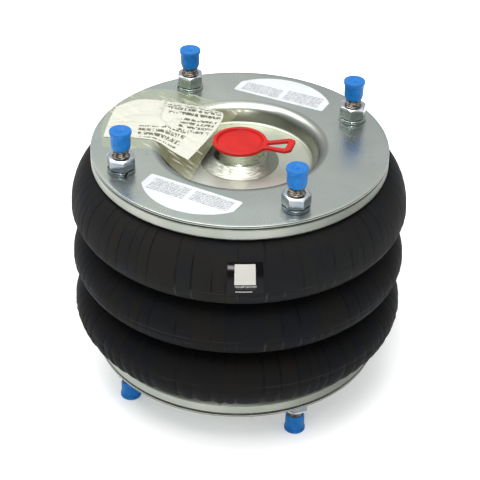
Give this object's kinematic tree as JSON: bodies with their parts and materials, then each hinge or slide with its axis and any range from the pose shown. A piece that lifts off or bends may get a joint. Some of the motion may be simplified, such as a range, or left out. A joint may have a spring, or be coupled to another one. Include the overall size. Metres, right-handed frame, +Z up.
{
  "type": "air bellows actuator",
  "caption": "Convoluted rubber air bellows actuator clamped between dished, studded steel end plates, with girdle hoops, a plugged central air port and thread caps.",
  "frame": {"origin": "on the bellows' vertical axis, at the floor under the lower thread caps", "axes": "+Z up along the stroke, from the lower end plate to the upper one; the upper studs lie at 45 degrees to X and Y, and the plug's pull tab points 4.5 degrees round from +X"},
  "size_m": [0.262, 0.262, 0.2454],
  "materials": {
    "zinc_sheet": "bright zinc-plated pressed sheet, softly blurred reflections",
    "zinc_ring": "zinc-plated turned ring, satin",
    "zinc_fastener": "bright zinc plating",
    "stud_steel": "zinc-plated rolled thread, dull",
    "port_steel": "machined steel with its bright weld, zinc-plated",
    "hoop_steel": "round steel wire, plain",
    "rubber": "black moulded rubber, satin, faint cord lines",
    "blue_plastic": "soft blue polyethylene",
    "red_plastic": "red polyethylene, slight gloss",
    "label_white": "blank white vinyl sticker, satin",
    "label_paper": "creased blank paper under clear tape",
    "label_foil": "small glossy dark sticker, blank"
  },
  "bodies": {
    "lower_end": {"lower_end_plate": "zinc_sheet", "lower_clamp_ring": "zinc_ring", "lower_stud_1": "stud_steel", "lower_stud_2": "stud_steel", "lower_stud_3": "stud_steel", "lower_stud_4": "stud_steel", "lower_nut_1": "zinc_fastener", "lower_nut_2": "zinc_fastener", "lower_nut_3": "zinc_fastener", "lower_nut_4": "zinc_fastener", "lower_lock_washer_1": "zinc_fastener", "lower_lock_washer_2": "zinc_fastener", "lower_lock_washer_3": "zinc_fastener", "lower_lock_washer_4": "zinc_fastener", "lower_thread_cap_1": "blue_plastic", "lower_thread_cap_2": "blue_plastic", "lower_thread_cap_3": "blue_plastic", "lower_thread_cap_4": "blue_plastic", "rubber_bellows": "rubber"},
    "lower_hoop": {"lower_girdle_hoop": "hoop_steel"},
    "upper_hoop": {"upper_girdle_hoop": "hoop_steel"},
    "upper_end": {"upper_end_plate": "zinc_sheet", "upper_clamp_ring": "zinc_ring", "upper_stud_1": "stud_steel", "upper_stud_2": "stud_steel", "upper_stud_3": "stud_steel", "upper_stud_4": "stud_steel", "upper_nut_1": "zinc_fastener", "upper_nut_2": "zinc_fastener", "upper_nut_3": "zinc_fastener", "upper_nut_4": "zinc_fastener", "upper_lock_washer_1": "zinc_fastener", "upper_lock_washer_2": "zinc_fastener", "upper_lock_washer_3": "zinc_fastener", "upper_lock_washer_4": "zinc_fastener", "port_boss": "port_steel"},
    "plug": {"port_plug": "red_plastic"},
    "upper_cap_1": {"upper_thread_cap_1": "blue_plastic"},
    "upper_cap_2": {"upper_thread_cap_2": "blue_plastic"},
    "upper_cap_3": {"upper_thread_cap_3": "blue_plastic"},
    "upper_cap_4": {"upper_thread_cap_4": "blue_plastic"}
  },
  "joints": [
    {"name": "lower_fold", "type": "slide", "parent": "lower_end", "child": "lower_hoop", "axis": [0, 0, 1], "range_m": [-0.018, 0.033], "stiffness_N_per_m": 20000, "springref_m": 0.0045, "deforming": ["rubber_bellows"]},
    {"name": "middle_fold", "type": "slide", "parent": "lower_hoop", "child": "upper_hoop", "axis": [0, 0, 1], "range_m": [-0.018, 0.033]},
    {"name": "upper_fold", "type": "slide", "parent": "upper_hoop", "child": "upper_end", "axis": [0, 0, 1], "range_m": [-0.018, 0.033]},
    {"name": "plug_pull", "type": "slide", "parent": "upper_end", "child": "plug", "axis": [0, 0, 1], "range_m": [0, 0.025]},
    {"name": "cap_1_pull", "type": "slide", "parent": "upper_end", "child": "upper_cap_1", "axis": [0, 0, 1], "range_m": [0, 0.022]},
    {"name": "cap_2_pull", "type": "slide", "parent": "upper_end", "child": "upper_cap_2", "axis": [0, 0, 1], "range_m": [0, 0.022]},
    {"name": "cap_3_pull", "type": "slide", "parent": "upper_end", "child": "upper_cap_3", "axis": [0, 0, 1], "range_m": [0, 0.022]},
    {"name": "cap_4_pull", "type": "slide", "parent": "upper_end", "child": "upper_cap_4", "axis": [0, 0, 1], "range_m": [0, 0.022]}
  ],
  "couplings": [
    {"joint": "middle_fold", "follows": "lower_fold", "ratio": 1},
    {"joint": "upper_fold", "follows": "lower_fold", "ratio": 1}
  ]
}
